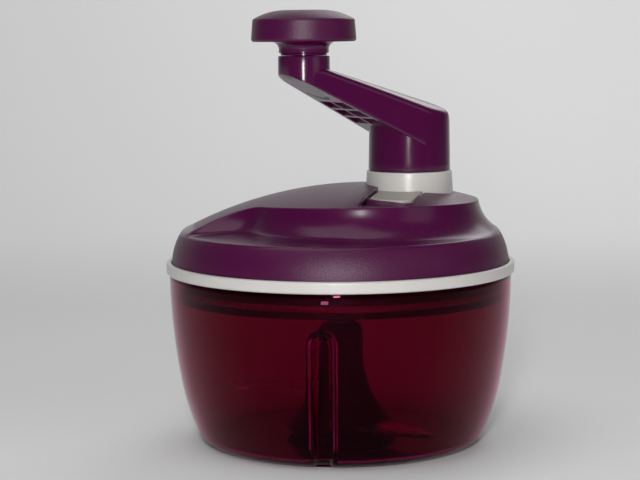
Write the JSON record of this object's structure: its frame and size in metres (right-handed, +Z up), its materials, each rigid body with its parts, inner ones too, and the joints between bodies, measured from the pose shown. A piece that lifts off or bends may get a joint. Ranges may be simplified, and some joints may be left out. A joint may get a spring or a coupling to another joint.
{
  "type": "crank food chopper",
  "caption": "Round kitchen chopper: clear bowl with a turning blade post, domed lid with a geared drive, and a cranked handle with a spinning knob on top.",
  "frame": {"origin": "centre of the foot, on the surface that the bowl stands on", "axes": "+Z up along the blade's axis; +X from the blade's axis towards the crank's axis; -Y the front"},
  "size_m": [0.18, 0.18, 0.2226],
  "materials": {
    "crimson_clear": "clear, polished",
    "grip_rubber": "soft, matt",
    "plum_satin": "fine satin texture",
    "plum_gloss": "polished",
    "dark_plum": "satin",
    "ivory": "semi-gloss",
    "tab_grey": "satin",
    "seal_silicone": "soft, matt",
    "gear_white": "satin",
    "bush_bronze": "machined",
    "blade_steel": "ground",
    "shaft_steel": "turned",
    "screw_zinc": "zinc plated"
  },
  "bodies": {
    "bowl": {"bowl": "crimson_clear", "base_ring": "grip_rubber", "bowl_pin": "shaft_steel"},
    "lid": {"lid_deck": "dark_plum", "lid_cover": "plum_satin", "rim_ring": "ivory", "lid_gasket": "seal_silicone", "collar": "ivory", "collar_bush": "bush_bronze", "gear_bridge": "gear_white", "spindle_bush": "bush_bronze", "shaft_washer": "shaft_steel", "bridge_screws": "screw_zinc", "cover_screws": "screw_zinc", "collar_screws": "screw_zinc", "tab_pin": "shaft_steel"},
    "tab": {"release_tab": "tab_grey"},
    "crank": {"crank_arm": "plum_gloss", "crank_shaft": "shaft_steel", "drive_gear": "gear_white"},
    "knob": {"knob_cap": "plum_satin", "knob_stem": "plum_gloss", "knob_washer": "shaft_steel", "knob_screw": "screw_zinc"},
    "drive": {"drive_spindle": "shaft_steel", "pinion": "gear_white"},
    "blade": {"blade_hub": "dark_plum", "hub_cap": "dark_plum", "foot_bush": "bush_bronze", "upper_blade": "blade_steel", "lower_blade": "blade_steel"}
  },
  "joints": [
    {"name": "lid_lift", "type": "slide", "parent": "bowl", "child": "lid", "axis": [0, 0, 1], "range_m": [0, 0.06]},
    {"name": "crank_turn", "type": "hinge", "parent": "lid", "child": "crank", "pos_m": [0.036, 0, 0.15], "axis": [0, 0, 1], "continuous": true},
    {"name": "knob_spin", "type": "hinge", "parent": "crank", "child": "knob", "pos_m": [-0.01768, -0.02854, 0.2], "axis": [0, 0, 1], "continuous": true},
    {"name": "spindle_turn", "type": "hinge", "parent": "lid", "child": "drive", "pos_m": [0, 0, 0.09], "axis": [0, 0, 1], "continuous": true},
    {"name": "blade_turn", "type": "hinge", "parent": "bowl", "child": "blade", "pos_m": [0, 0, 0.03], "axis": [0, 0, 1], "continuous": true},
    {"name": "tab_press", "type": "hinge", "parent": "lid", "child": "tab", "pos_m": [0.0294, -0.0238, 0.1295], "axis": [0.9636, -0.2672, 0], "range_deg": [0, 5], "stiffness_Nm_per_rad": 0.4, "springref_deg": -1.72}
  ],
  "couplings": [
    {"joint": "spindle_turn", "follows": "crank_turn", "ratio": -3},
    {"joint": "blade_turn", "follows": "crank_turn", "ratio": -3}
  ]
}
